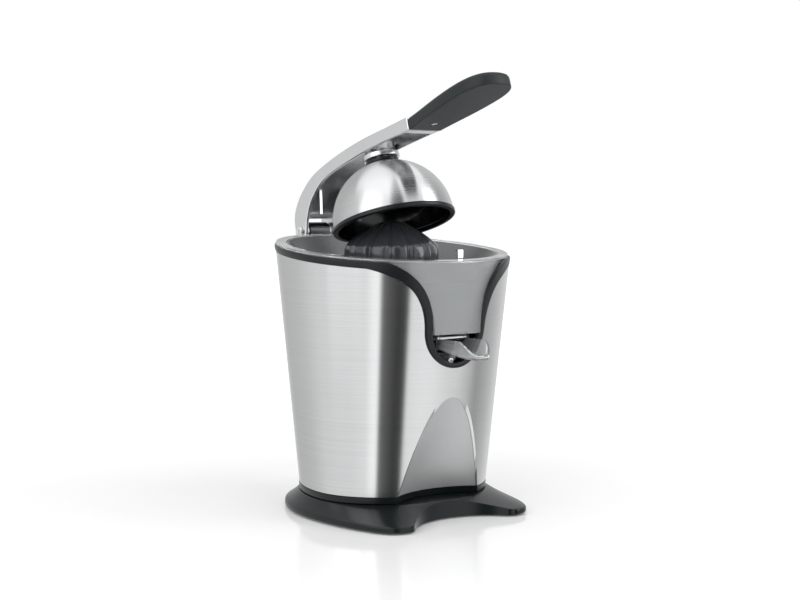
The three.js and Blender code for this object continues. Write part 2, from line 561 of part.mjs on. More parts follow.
function buildHinge() {
  const tongue = new THREE.Shape();
  tongue.moveTo(PIN.y + 8, 196);
  tongue.lineTo(PIN.y + 8, PIN.z);
  tongue.absarc(PIN.y, PIN.z, 8, 0, Math.PI);
  tongue.lineTo(PIN.y - 8, 196);
  const base = new THREE.Shape(profile([[98, 205], [122.5, 205], [124, 198], [114, 170], [98, 166]]));
  let block = sideProfile(tongue, -10.2, 10.2, 10).add(sideProfile(base, -16, 16));
  block = block.intersect(box(-20, 20, 90, PIN.y + 8.1, 150, 230));
  block = block.subtract(bodySolid(-BEZEL.proud - GAP, 150, 222));
  block = block.subtract(rod(-30, 30, PIN.y, PIN.z, PIN.radius + GAP));
  const inside = (a, b) => bodySolid(a, 174, 198).subtract(bodySolid(b, 170, 200));
  let plate = inside(SHELL + GAP, 3.1).intersect(box(-14, 14, 70, 120, 176, 196));
  HINGE_SCREW.x.forEach((x, i) => {
    const hole = (y0, y1, r) => screwAlongY(x, y0, y1, HINGE_SCREW.z, r, 12);
    block = block.subtract(hole(100, 140, 1.9)).subtract(hole(116, 140, 3.7));
    plate = plate.subtract(hole(90, 120, 1.9));
    add(`hinge_screw_${i + 1}`, hole(98.1, 117.5, 1.6).add(hole(116.3, 118.2, 3.3)), finish.steel);
  });
  add('hinge_block', block, finish.black);
  add('hinge_plate', plate, finish.steel);
  let pin = rod(-15.4, 17.4, PIN.y, PIN.z, PIN.radius).add(rod(-17, -15.4, PIN.y, PIN.z, 4.4));
  pin = pin.subtract(rod(-20, 20, PIN.y, PIN.z, 1.4, 12));
  add('hinge_pin', pin, finish.chrome);
  const clip = rod(15.4, 16.4, PIN.y, PIN.z, 4.9).subtract(rod(10, 20, PIN.y, PIN.z, 3.1));
  add('hinge_clip', clip, finish.steel);
  for (const [name, x] of [['left', -12.4], ['right', 10.5]]) {
    const washer = rod(x, x + 1.9, PIN.y, PIN.z, 7, 24).subtract(rod(x - 1, x + 3, PIN.y, PIN.z, 3.2));
    add(`hinge_washer_${name}`, washer, finish.steel);
  }
}

function buildArm() {
  const top = sampled(ARM_TOP, 18);
  const low = sampled(ARM_LOW, 16);
  const outline = new THREE.Shape(top);
  outline.lineTo(PIN.y + 8.6, PIN.z);
  outline.absarc(PIN.y, PIN.z, 8.6, 0, -Math.PI, true);
  low.forEach((p) => outline.lineTo(p.x, p.y));
  const full = sideProfile(outline, -ARM.half, ARM.half, 12);
  const roof = offsetLine(top, ARM.wall).filter((p) => p.x > -28.5 && p.y > 226.5);
  const hollow = new THREE.Shape(roof);
  [[150, 226.5], [150, 190], [60, 190], [-28.5, 260]].forEach(([y, z]) => hollow.lineTo(y, z));
  const inner = ARM.half - ARM.wall;
  let arm = full.subtract(sideProfile(hollow, -inner, inner));
  const web = box(-inner - 0.5, inner + 0.5, 100, 128, 229, 231);
  const ribShape = new THREE.Shape(profile([[109, 230], [127, 230], [118, 256], [110, 252]]));
  const rib = sideProfile(ribShape, -1.2, 1.2);
  arm = arm.add(web.add(rib).intersect(full));
  arm = arm.subtract(rod(-30, 30, PIN.y, PIN.z, PIN.radius + 0.1));
  add('lever_arm', arm, finish.castMetal);

  // Grip: a paddle on the arm's slope.
  const { length, edge, slope } = GRIP;
  const root = GRIP.root - edge;
  const wide = GRIP.half - edge;
  const end = length - edge;
  const plan = new THREE.Shape();
  plan.moveTo(-root, 0.4);
  plan.lineTo(root, 0.4);
  plan.bezierCurveTo(root + 1.2, 18, wide, 38, wide, 62);
  plan.bezierCurveTo(wide, 86, 12, end, 0, end);
  plan.bezierCurveTo(-12, end, -wide, 86, -wide, 62);
  plan.bezierCurveTo(-wide, 38, -root - 1.2, 18, -root, 0.4);
  const g = new THREE.ExtrudeGeometry(plan, { depth: GRIP.thick - 2 * edge, bevelEnabled: true,
    bevelSize: edge, bevelThickness: edge, bevelSegments: 1, curveSegments: 7 });
  const along = new THREE.Vector3(0, -Math.cos(slope), Math.sin(slope));
  const up = new THREE.Vector3(0, Math.sin(slope), Math.cos(slope));
  const seat = new THREE.Matrix4().makeBasis(new THREE.Vector3(-1, 0, 0), along, up);
  seat.setPosition(0, -36.5, 296.3);
  let grip = solid(g, seat);
  const screwSeat = (depth0, depth1, r) => {
    const c = new THREE.CylinderGeometry(r, r, depth1 - depth0, 16);
    c.rotateX(Math.PI / 2);
    return solid(c, seat.clone().multiply(at(0, 12, (depth0 + depth1) / 2)));
  };
  grip = grip.subtract(screwSeat(-3, 0.6, 3.1)).subtract(screwSeat(-3, 5.6, 1.9));
  add('handle_grip', grip, finish.grip);
  add('grip_screw', screwSeat(-0.9, 0.3, 2.8).add(screwSeat(0, 5.2, 1.5)), finish.steel);
}

// Places a turned piece on the dome's own axis; h = 0 is the plane of the dome's rim.
function onDomeAxis(points, sides = 28) {
  const g = new THREE.LatheGeometry(points.map(([r, h]) => new THREE.Vector2(r, h)), sides);
  g.rotateX(Math.PI / 2);
  const seat = new THREE.Matrix4().makeRotationX(-DOME.tilt);
  seat.setPosition(0, DOME.y, DOME.z);
  return solid(g, seat);
}

function cap(radius, hole, steps) {
  const start = Math.asin(hole / radius);
  return Array.from({ length: steps + 1 }, (_, i) => {
    const a = Math.PI / 2 + (start - Math.PI / 2) * i / steps;
    return [radius * Math.sin(a), DOME.centre + radius * Math.cos(a)];
  });
}

function domeShell(outer, inner, hole) {
  const outside = cap(outer, hole, 7);
  const inside = cap(inner, hole, 7).reverse();
  return onDomeAxis([...outside, ...inside, outside[0]]);
}

function buildDome() {
  add('arm_collar', onDomeAxis([[6.9, 54], [14.2, 54], [14.6, 54.5], [14.6, 57.5], [12.2, 60], [12.2, 66],
    [0, 66], [0, 61], [6.9, 61], [6.9, 54]]), finish.chrome);
  const stem = onDomeAxis([[0, 43], [9, 43], [9, 44.6], [5.8, 44.6], [5.8, 59.6], [0, 59.6]], 24);
  add('dome_stem', stem, finish.steel);
  add('neck_ring', onDomeAxis([[6.4, 51.9], [13.2, 50.2], [13.2, 52.7], [6.4, 52.7], [6.4, 51.9]], 32),
    finish.charcoal);
  add('press_dome', domeShell(DOME.radius, DOME.radius - DOME.wall, 6.2), finish.steel);
  add('dome_liner', domeShell(DOME.radius - DOME.wall - GAP, DOME.radius - DOME.wall - GAP - 1.3, 6.2),
    finish.black);
  add('dome_seal', onDomeAxis([[44.9, 0], [48.4, 0], [48.9, 0.6], [48.9, 3.2], [44.9, 3.2], [44.9, 0]]),
    finish.charcoal);
}

buildFoot();
buildShell();
buildDrive();
buildContainer();
buildSpout();
buildHinge();
buildArm();
buildDome();

export default group;
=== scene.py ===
import math

import bmesh
import bpy
from mathutils import Matrix, Vector


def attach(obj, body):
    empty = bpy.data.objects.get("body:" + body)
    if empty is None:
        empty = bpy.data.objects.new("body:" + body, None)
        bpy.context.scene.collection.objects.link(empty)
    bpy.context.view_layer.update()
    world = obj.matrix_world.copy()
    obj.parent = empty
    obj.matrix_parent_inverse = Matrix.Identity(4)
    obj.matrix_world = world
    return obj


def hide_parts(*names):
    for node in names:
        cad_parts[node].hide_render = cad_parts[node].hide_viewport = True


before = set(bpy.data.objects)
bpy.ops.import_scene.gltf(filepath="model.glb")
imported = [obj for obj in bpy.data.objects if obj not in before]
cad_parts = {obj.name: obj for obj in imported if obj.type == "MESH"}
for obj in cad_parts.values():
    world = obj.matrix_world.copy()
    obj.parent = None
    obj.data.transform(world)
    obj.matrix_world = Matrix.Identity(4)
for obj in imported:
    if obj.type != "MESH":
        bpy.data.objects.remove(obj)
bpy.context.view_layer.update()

# Sizes are in millimetres on the CAD's own drawing axes, until new_object() places them.
MM = 0.001
CENTRE_Y = -1.5
GAP = 0.3
ROUND = 192                      # sides of the egg-shaped body
TURNED = 96                      # sides of a turned piece

# The body's egg-shaped plan at two heights: (height, half width, front reach, back reach).
BODY_LOW = (20, 74.8, 62.3, 83.5)
BODY_HIGH = (205, 91.8, 85.5, 103.5)
SHELL_WALL = 1.2
SHELL_Z = 20.3
RIM_SLOPE = 0.094
RING_Z = 204.7
BEZEL_TOP, BEZEL_HEIGHT, BEZEL_PROUD, BEZEL_INNER = 202.6, 4.9, 0.7, 3.0
RECESS_RADIUS, RECESS_MIDDLE_Y, RECESS_LEAN, RECESS_TOP = 69.6, -41.8, -0.385, 104
ARC_RADIUS, ARC_MIDDLE_Y = 58, -63
FOOT_SIDE, FOOT_FRONT, FOOT_CAP, FOOT_BACK, FOOT_BLEND = 85.3, 130, 88, 97.5, 12
FOOT_TOP = 14.6
FEET = [(-58, -62), (58, -62), (-48, 66), (48, 66)]
BASE_SCREWS = [(-62, -22), (62, -22), (-36, 75), (36, 75)]
INLET_Z = 8.1
PANEL_SCREW_Z = 121.6
HINGE_SCREWS_X, HINGE_SCREW_Z = (-9, 9), 186
FLOOR_Z, WALL = 142.6, 2.0      # clear container: underside of its floor, thickness
CONE_Y, CONE_BASE = 7.5, 183.6
PIN_Y, PIN_Z, PIN_RADIUS = 118.5, 216, 3
ARM_HALF, ARM_WALL = 15, 2.4
SPOUT_PIN_Y, SPOUT_PIN_Z, SPOUT_PIN_RADIUS = -69, 139.3, 1.2
DOME_Y, DOME_Z, DOME_TILT, DOME_RADIUS, DOME_WALL, DOME_CENTRE = 3.4, 223.2, 0.324, 48, 1.2, 3.6

# The photo's camera: in metres, and its lens in millimetres.
CAMERA_PLACE = (-0.6524, -0.9020, 0.2374)
CAMERA_AIM = (0.5871, 0.8068, -0.0660)
CAMERA_LENS = 63.65

# Flared U of the cut-out, as bezier spans of (x, z): outside and inside of its trim.
OUTER_CUT = [
    [(0, 117.2), (14, 117.2), (27.5, 128), (28.2, 147)],
    [(28.2, 147), (29, 163), (36, 176), (46, 182.2)],
    [(46, 182.2), (56, 188.4), (66, 193.4), (80, 194.9)],
]
INNER_CUT = [
    [(0, 120.7), (12, 120.7), (21.3, 131), (22, 146)],
    [(22, 146), (22.6, 163), (27.5, 174), (36, 183.3)],
    [(36, 183.3), (42.5, 189.5), (50, 195.2), (62, 197.6)],
]
ARM_TOP = [(-32.8, 305.1), (-4.7, 298.2), (29.5, 289.8), (65.5, 278.2), (97.9, 264.2),
           (116.2, 249.8), (126.2, 236), (128.9, 226)]
ARM_LOW = [(109.4, 224), (105.2, 237), (98, 247.3), (87.1, 257.1), (70.9, 265.3),
           (45.1, 274), (22, 281.1), (-4.7, 287.9), (-35.8, 295.1)]


# ---------------------------------------------------------------- outlines
def bezier(a, b, c, d, steps):
    points = []
    for i in range(steps + 1):
        t = i / steps
        s = 1 - t
        weights = (s ** 3, 3 * s * s * t, 3 * s * t * t, t ** 3)
        points.append(tuple(sum(w * p[k] for w, p in zip(weights, (a, b, c, d))) for k in (0, 1)))
    return points


def half_cut(curves, grow=0.0, steps=16):
    """The right half of a cut-out's outline, from its lowest point outwards."""
    line = []
    for span in curves:
        piece = bezier(*span, steps)
        line += piece if not line else piece[1:]
    return [(x + grow if x > 0 else 0.0, z - grow) for x, z in line]


def cut_outline(curves, grow=0.0, top=260.0):
    right = half_cut(curves, grow)
    left = [(-x, z) for x, z in reversed(right[1:])]
    return left + right + [(right[-1][0], top), (-right[-1][0], top)]


def spline(points, count):
    """Uniform Catmull-Rom line through the points."""
    out = []
    last = len(points) - 1
    for i in range(count + 1):
        p = last * i / count
        k = min(int(p), last - 1)
        t = p - k
        p0, p1, p2, p3 = (points[min(max(k + d, 0), last)] for d in (-1, 0, 1, 2))
        value = []
        for j in (0, 1):
            v0, v1 = (p2[j] - p0[j]) / 2, (p3[j] - p1[j]) / 2
            value.append((2 * p1[j] - 2 * p2[j] + v0 + v1) * t ** 3
                         + (3 * p2[j] - 3 * p1[j] - 2 * v0 - v1) * t * t + v0 * t + p1[j])
        out.append(tuple(value))
    return out


def arc(x, y, radius, start, end, steps):
    """Points on a circle, from one angle to the other, in degrees."""
    out = []
    for i in range(steps + 1):
        a = math.radians(start + (end - start) * i / steps)
        out.append((x + radius * math.cos(a), y + radius * math.sin(a)))
    return out


def rounded(corners, radius, steps=4):
    """A closed outline with its corners rounded. Corners on the axis of a turned piece stay."""
    out = []
    for i, corner in enumerate(corners):
        p = Vector(corner)
        a = Vector(corners[i - 1]) - p
        b = Vector(corners[(i + 1) % len(corners)]) - p
        opening = a.angle(b) if a.length > 1e-6 and b.length > 1e-6 else math.pi
        if abs(corner[0]) < 1e-6 or opening > math.radians(165):
            out.append(corner)
            continue
        cut = min(radius / math.tan(opening / 2), 0.45 * a.length, 0.45 * b.length)
        start, end = p + a.normalized() * cut, p + b.normalized() * cut
        for k in range(steps + 1):
            t = k / steps
            out.append(tuple(start * (1 - t) ** 2 + p * 2 * t * (1 - t) + end * t * t))
    return out


def inset(outline, distance):
    """A closed anticlockwise outline moved inwards."""
    out = []
    for i, corner in enumerate(outline):
        p, a, b = Vector(corner), Vector(outline[i - 1]), Vector(outline[(i + 1) % len(outline)])
        na = Vector((-(p - a).y, (p - a).x)).normalized()
        nb = Vector((-(b - p).y, (b - p).x)).normalized()
        mean = (na + nb).normalized()
        out.append(tuple(p + mean * distance / max(mean.dot(na), 0.5)))
    return out


# ---------------------------------------------------------------- meshes
def new_object(name, points, faces, matrix=None):
    """A closed mesh. Without a matrix its points are on the drawing axes."""
    mesh = bpy.data.meshes.new(name)
    shift = CENTRE_Y if matrix is None else 0.0
    mesh.from_pydata([(x * MM, (y + shift) * MM, z * MM) for x, y, z in points], [], faces)
    bm = bmesh.new()
    bm.from_mesh(mesh)
    bmesh.ops.remove_doubles(bm, verts=bm.verts, dist=1e-6)
    bmesh.ops.recalc_face_normals(bm, faces=bm.faces)
    bm.to_mesh(mesh)
    bm.free()
    obj = bpy.data.objects.new(name, mesh)
    bpy.context.collection.objects.link(obj)
    if matrix is not None:
        obj.matrix_world = matrix
    return obj


def loft(name, rings, joined=False, matrix=None):
    """A skin over rings with as many points each: capped, or joined last to first."""
    n = len(rings[0])
    rows = len(rings)
    faces = []
    for i in range(rows if joined else rows - 1):
        j = (i + 1) % rows
        for k in range(n):
            m = (k + 1) % n
            faces.append((i * n + k, i * n + m, j * n + m, j * n + k))
    if not joined:
        faces.append(tuple(range(n)))
        faces.append(tuple((rows - 1) * n + k for k in range(n)))
    return new_object(name, [p for ring in rings for p in ring], faces, matrix)


def turned(name, profile, centre=(0, 0, 0), axis="z", sides=TURNED, matrix=None):
    """A closed (radius, height) profile turned about an axis through centre."""
    rings = []
    for r, h in profile:
        ring = []
        for i in range(sides):
            a = 2 * math.pi * i / sides
            u, v = r * math.cos(a), r * math.sin(a)
            local = {"z": (u, v, h), "y": (u, h, v), "x": (h, u, v)}[axis]
            ring.append(tuple(c + d for c, d in zip(centre, local)))
        rings.append(ring)
    return loft(name, rings, True, matrix)


def hole(radius, low, high, centre, axis, sides):
    """A plain cylinder for cutting with."""
    return turned("hole", [(0, low), (radius, low), (radius, high), (0, high)], centre, axis, sides)


def prism(name, outline, axis, low, high):
    """An outline in the two other axes, drawn out along one axis."""
    def at(u, v, w):
        return {"x": (w, u, v), "y": (u, w, v), "z": (u, v, w)}[axis]
    return loft(name, [[at(u, v, w) for u, v in outline] for w in (low, high)])


def block(name, x0, x1, y0, y1, z0, z1):
    return prism(name, [(x0, y0), (x1, y0), (x1, y1), (x0, y1)], "z", z0, z1)


def apply_modifiers(obj):
    graph = bpy.context.evaluated_depsgraph_get()
    mesh = bpy.data.meshes.new_from_object(obj.evaluated_get(graph))
    obj.modifiers.clear()
    obj.data = mesh
    return obj


def combine(obj, operation, *others):
    for other in others:
        modifier = obj.modifiers.new("shape", "BOOLEAN")
        modifier.object = other
        modifier.operation = operation
        modifier.solver = "EXACT"
        apply_modifiers(obj)
        bpy.data.objects.remove(other)
    return obj


def cut(obj, *others):
    return combine(obj, "DIFFERENCE", *others)


def join(obj, *others):
    return combine(obj, "UNION", *others)


def keep(obj, *others):
    return combine(obj, "INTERSECT", *others)


def soften(obj, width, segments=3, angle=40):
    modifier = obj.modifiers.new("edges", "BEVEL")
    modifier.width = width * MM
    modifier.segments = segments
    modifier.limit_method = "ANGLE"
    modifier.angle_limit = math.radians(angle)
    return apply_modifiers(obj)


def shade(obj, crease=32, weighted=True):
    obj.data.shade_smooth()
    obj.data.set_sharp_from_angle(angle=math.radians(crease))
    if weighted:
        modifier = obj.modifiers.new("normals", "WEIGHTED_NORMAL")
        modifier.keep_sharp = True
        modifier.weight = 80
        apply_modifiers(obj)
    return obj


def finished(obj, look, body, slot, *nodes, crease=32, weighted=True):
    """Shades a piece, gives it its look, ties it to its body and hides the CAD nodes that it stands for. The
    slot argument is not used.
    """
    shade(obj, crease, weighted)
    obj.data.materials.clear()
    obj.data.materials.append(look)
    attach(obj, body)
    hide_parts(*nodes)
    return obj


# ---------------------------------------------------------------- materials
def node(tree, kind, inputs=None, **settings):
    made = tree.nodes.new(kind)
    for key, value in settings.items():
        setattr(made, key, value)
    for key, value in (inputs or {}).items():
        made.inputs[key].default_value = value
    return made


def grain_noise(tree, scale, detail=5.0, roughness=0.6):
    """Noise on the piece's own axes, with its own scale along each."""
    place = node(tree, "ShaderNodeTexCoord")
    mapping = node(tree, "ShaderNodeMapping", {"Scale": scale})
    noise = node(tree, "ShaderNodeTexNoise", {"Scale": 1.0, "Detail": detail, "Roughness": roughness})
    tree.links.new(place.outputs["Object"], mapping.inputs["Vector"])
    tree.links.new(mapping.outputs["Vector"], noise.inputs["Vector"])
    return noise


def surface(name, colour, roughness, grain, bump=0.1, depth=0.02, tint=0.12, vary=0.05, patch=18,
            **sockets):
    """A shader whose colour, roughness and bump come from a fine grain over large soft patches."""
    look = bpy.data.materials.new(name)
    look.use_nodes = True
    tree = look.node_tree
    shader = tree.nodes["Principled BSDF"]
    fine = grain_noise(tree, grain)
    broad = grain_noise(tree, (patch, patch, patch), 2.0, 0.5)
    spread = node(tree, "ShaderNodeMix", {"Factor": 0.35}, data_type="FLOAT")
    tree.links.new(fine.outputs["Fac"], spread.inputs["A"])
    tree.links.new(broad.outputs["Fac"], spread.inputs["B"])
    colours = node(tree, "ShaderNodeValToRGB")
    for stop, position, share in zip(colours.color_ramp.elements, (0.3, 0.7), (1 - tint, 1 + tint)):
        stop.position = position
        stop.color = (*(min(c * share, 1.0) for c in colour), 1)
    tree.links.new(spread.outputs["Result"], colours.inputs["Fac"])
    tree.links.new(colours.outputs["Color"], shader.inputs["Base Color"])
    rough = node(tree, "ShaderNodeMapRange", {"From Min": 0.3, "From Max": 0.7,
                                              "To Min": max(roughness - vary, 0.01),
                                              "To Max": roughness + vary})
    tree.links.new(spread.outputs["Result"], rough.inputs["Value"])
    tree.links.new(rough.outputs["Result"], shader.inputs["Roughness"])
    relief = node(tree, "ShaderNodeBump", {"Strength": bump, "Distance": depth * MM})
    tree.links.new(fine.outputs["Fac"], relief.inputs["Height"])
    tree.links.new(relief.outputs["Normal"], shader.inputs["Normal"])
    for socket, value in sockets.items():
        shader.inputs[socket.replace("_", " ")].default_value = value
    return look


def brushed(name, colour, roughness, bump, tint):
    """Steel brushed in rings about the piece's own Z axis."""
    look = surface(name, colour, roughness, (5, 5, 2600), bump=bump, depth=0.03, tint=tint,
                   vary=0.03, patch=9, Metallic=1.0, Anisotropic=0.9, Anisotropic_Rotation=0.25)
    tree = look.node_tree
    tangent = node(tree, "ShaderNodeTangent", direction_type="RADIAL", axis="Z")
    tree.links.new(tangent.outputs["Tangent"], tree.nodes["Principled BSDF"].inputs["Tangent"])
    return look


def make_looks():
    fine, moulded = (2600, 2600, 2600), (1500, 1500, 1500)
    return {
        "steel": brushed("shell_steel", (0.66, 0.665, 0.67), 0.2, 0.25, 0.07),
        "dome_steel": brushed("dome_steel", (0.62, 0.625, 0.63), 0.26, 0.2, 0.05),
        "panel": surface("panel_steel", (0.5, 0.505, 0.51), 0.38, (700, 700, 60), bump=0.05,
                         tint=0.04, Metallic=0.45),
        "filter": surface("filter_steel", (0.13, 0.135, 0.14), 0.3, (900, 900, 200), bump=0.08,
                          Metallic=0.85, tint=0.1),
        "cast": surface("cast_alloy", (0.74, 0.745, 0.755), 0.26, fine, bump=0.16, depth=0.03,
                        tint=0.03, Metallic=1.0),
        "bright": surface("bright_metal", (0.82, 0.825, 0.83), 0.1, fine, bump=0.03, tint=0.03,
                          vary=0.03, Metallic=1.0),
        "plain": surface("zinc_steel", (0.55, 0.55, 0.54), 0.3, (900, 900, 300), bump=0.1,
                         Metallic=1.0),
        "foot": surface("foot_plastic", (0.007, 0.010, 0.011), 0.24, moulded, bump=0.08, depth=0.03,
                        Specular_IOR_Level=0.3),
        "trim": surface("trim_plastic", (0.008, 0.010, 0.012), 0.3, moulded, bump=0.08, depth=0.03,
                        Specular_IOR_Level=0.3),
        "black": surface("black_plastic", (0.008, 0.008, 0.009), 0.4, moulded, bump=0.15, depth=0.03,
                         Specular_IOR_Level=0.3),
        "gloss": surface("gloss_black", (0.004, 0.005, 0.006), 0.12, moulded, bump=0.03,
                         Specular_IOR_Level=0.45),
        "grip": surface("soft_touch", (0.012, 0.016, 0.018), 0.48, fine, bump=0.25, depth=0.03,
                        Specular_IOR_Level=0.35),
        "cone": surface("cone_plastic", (0.045, 0.05, 0.055), 0.16, moulded, bump=0.04,
                        Coat_Weight=0.3, Coat_Roughness=0.1),
        "rubber": surface("rubber", (0.02, 0.02, 0.02), 0.75, fine, bump=0.4, depth=0.04),
        "nylon": surface("nylon", (0.74, 0.72, 0.66), 0.45, moulded, bump=0.08,
                         Subsurface_Weight=0.1),
        "clear": surface("clear_plastic", (0.93, 0.95, 0.955), 0.05, (300, 300, 300), bump=0.02,
                         tint=0.02, vary=0.02, Transmission_Weight=0.89, IOR=1.49),
    }


# ---------------------------------------------------------------- the body's form
def body_half(z, inwards=0.0):
    t = (z - BODY_LOW[0]) / (BODY_HIGH[0] - BODY_LOW[0])
    return tuple(a + (b - a) * t - inwards for a, b in zip(BODY_LOW[1:], BODY_HIGH[1:]))


def egg_ring(half_at, z0, slope=0.0, sides=ROUND):
    """One level of an egg-shaped form, on a plane that may rise towards the back."""
    ring = []
    for i in range(sides):
        a = 2 * math.pi * i / sides
        across, along = math.sin(a), -math.cos(a)
        z = z0
        for _ in range(8 if slope else 1):
            _, front, back = half_at(z)
            y = along * (front if along < 0 else back)
            z = z0 + slope * y
        ring.append((across * half_at(z)[0], y, z))
    return ring


def between(low, high, rows):
    """Rings from low to high, both included."""
    rings = []
    for i in range(rows + 1):
        t = i / rows
        rings.append([tuple(p + (q - p) * t for p, q in zip(a, b)) for a, b in zip(low, high)])
    return rings


def body_ring(inwards, z, slope=0.0):
    return egg_ring(lambda height: body_half(height, inwards), z, slope)


def body_solid(name, inwards, z0, z1, slope0=0.0, slope1=0.0, inwards_top=None, rows=1):
    top = inwards if inwards_top is None else inwards_top
    return loft(name, between(body_ring(inwards, z0, slope0), body_ring(top, z1, slope1), rows))


def recess_cylinder(name, extra, z0, z1, rows=1):
    rings = []
    for i in range(rows + 1):
        z = z0 + (z1 - z0) * i / rows
        y = RECESS_MIDDLE_Y - RECESS_RADIUS + RECESS_LEAN * (z - BODY_LOW[0])
        rings.append([(u, v, z) for u, v in arc(0, y, RECESS_RADIUS + extra, 0, 357.5, 143)])
    return loft(name, rings)


def body_normal(x, y, z):
    """Outward direction of the body's surface at a point on it, on the drawing axes."""
    side, front, back = body_half(z)
    rise = BODY_HIGH[0] - BODY_LOW[0]
    reach, k = (front, 2) if y < 0 else (back, 3)
    side_slope = (BODY_HIGH[1] - BODY_LOW[1]) / rise
    reach_slope = (BODY_HIGH[k] - BODY_LOW[k]) / rise
    return Vector((x / side ** 2, y / reach ** 2,
                   -x * x * side_slope / side ** 3 - y * y * reach_slope / reach ** 3)).normalized()


def true_normals(obj, limit=0.9):
    """Gives faces that follow the body the body's own normals, so that reflections stay even."""
    mesh = obj.data
    mesh.shade_smooth()
    normals = [None] * len(mesh.loops)
    for face in mesh.polygons:
        for loop in face.loop_indices:
            x, y, z = mesh.vertices[mesh.loops[loop].vertex_index].co / MM
            own = body_normal(x, y - CENTRE_Y, z)
            match = own.dot(face.normal)
            normals[loop] = own if match > limit else (-own if match < -limit else face.normal.copy())
    mesh.normals_split_custom_set(normals)


# ---------------------------------------------------------------- foot
def foot_outline(grow=0.0, sides=ROUND * 2):
    out = []
    for i in range(sides):
        a = 2 * math.pi * i / sides
        across, along = math.sin(a), -math.cos(a)
        if along >= 0:
            y = along * (FOOT_BACK + grow)
        else:
            reach = abs(along) * (FOOT_FRONT + grow)
            cap = FOOT_CAP + grow
            y = -((max(reach, 1e-3) ** -FOOT_BLEND + cap ** -FOOT_BLEND) ** (-1 / FOOT_BLEND))
        out.append((across * (FOOT_SIDE + grow), y))
    return out


def toe_cutter(name, extra=0.0, fillet=9.0, front=-86.0):
    """The upright hollow in the foot's front, with the toes' inner corners rounded."""
    radius = ARC_RADIUS + extra
    middle = ARC_MIDDLE_Y - ARC_RADIUS
    y = front + fillet
    x = math.sqrt((radius + fillet) ** 2 - (y - middle) ** 2)
    start = math.degrees(math.atan2(y - middle, x))
    right = arc(x, y, fillet, 270, 180 + start, 10)
    over = arc(0, middle, radius, start, 180 - start, 72)
    left = [(-u, v) for u, v in reversed(right)]
    outline = [(x, -140)] + right + over + left + [(-x, -140)]
    return prism(name, outline, "z", -5, 30)


def build_foot(looks):
    outline = foot_outline()
    sides = len(outline)
    top = [(x, y) for x, y, _ in egg_ring(lambda z: body_half(FOOT_TOP, -1.2), FOOT_TOP, 0, sides)]
    profile = [(0, 1.2, -0.9), (0, 1.7, -0.3), (0, 2.4, 0), (0, 4.6, 0), (0.004, 5.3, -0.15),
               (0.02, 5.75, -0.3), (0.06, 6.1, -0.2), (0.2, 7.1, 0), (0.45, 9.0, 0), (0.7, 11.3, 0),
               (0.88, 13.3, 0), (0.96, 14.2, 0), (1.0, FOOT_TOP, -0.5)]
    rings = []
    for blend, z, swell in profile:
        ring = []
        for (x0, y0), (x1, y1) in zip(outline, top):
            x, y = x0 + (x1 - x0) * blend, y0 + (y1 - y0) * blend
            reach = math.hypot(x, y)
            ring.append((x * (1 + swell / reach), y * (1 + swell / reach), z))
        rings.append(ring)
    foot = cut(loft("foot", rings), toe_cutter("cutter"))
    hollow = loft("hollow", [[(x * 0.97, y * 0.97, -1) for x, y in outline],
                             [(x * 0.97, y * 0.97, 4.2) for x, y in outline],
                             [(x * 0.96, y * 0.96, 12) for x, y in top]])
    cut(foot, cut(hollow, toe_cutter("cutter", 2.4)))
    cut(foot, cut(body_solid("well", 12, 8, 17), recess_cylinder("cutter", 16, 0, 30)),
        hole(3.9, 66, 120, (0, 0, INLET_Z), "y", 48))
    finished(foot, looks["foot"], "stand", "foot_plastic", "foot_base")

    band_profile = [(0.0, 15.0), (-0.3, 15.15), (-0.4, 15.5), (-0.4, 19.3), (-0.25, 19.8), (0.1, 20.0),
                    (9.6, 20.0), (9.6, 15.0)]
    band = loft("lower_band", [body_ring(i, z) for i, z in band_profile], True)
    fill = keep(body_solid("fill", -0.2, 15.02, 19.98), recess_cylinder("cutter", 8, 5, 40))
    cut(join(band, fill), recess_cylinder("cutter", -0.6, 5, 40))
    finished(band, looks["foot"], "stand", "foot_plastic", "lower_frame")

    for i, (x, y) in enumerate(FEET):
        profile = rounded([(0, 0), (6.8, 0), (7.2, 0.5), (8, 0.5), (8.5, 1.3), (3.6, 1.3), (3.6, 4.6),
                           (0, 4.6)], 0.25, 3)
        pad = turned(f"rubber_pad_{i + 1}", profile, (x, y, 0), "z", 64)
        finished(pad, looks["rubber"], "stand", "rubber", f"rubber_foot_{i + 1}")
    for i, (x, y) in enumerate(BASE_SCREWS):
        profile = rounded([(0, 1.1), (1.0, 1.1), (1.3, 0.5), (2.6, 0.55), (3.2, 1.0), (3.1, 1.5),
                           (1.4, 1.5), (1.4, 9.5), (0, 9.5)], 0.12, 2)
        screw = turned(f"base_screw_{i + 1}", profile, (x, y, 0), "z", 32)
        finished(screw, looks["plain"], "stand", "plain_steel", f"cover_screw_{i + 1}")
    gland = turned("inlet_gland", rounded([(2.2, 76), (4.1, 76), (4.1, 78), (3.6, 78), (3.6, 94.9),
                                           (2.2, 94.9)], 0.5), (0, 0, INLET_Z), "y", 48)
    finished(gland, looks["rubber"], "stand", "rubber", "cord_inlet")


# ---------------------------------------------------------------- steel shell, recess and trim
def cut_prism(name, curves, grow):
    return prism(name, cut_outline(curves, grow), "y", -130, -20)


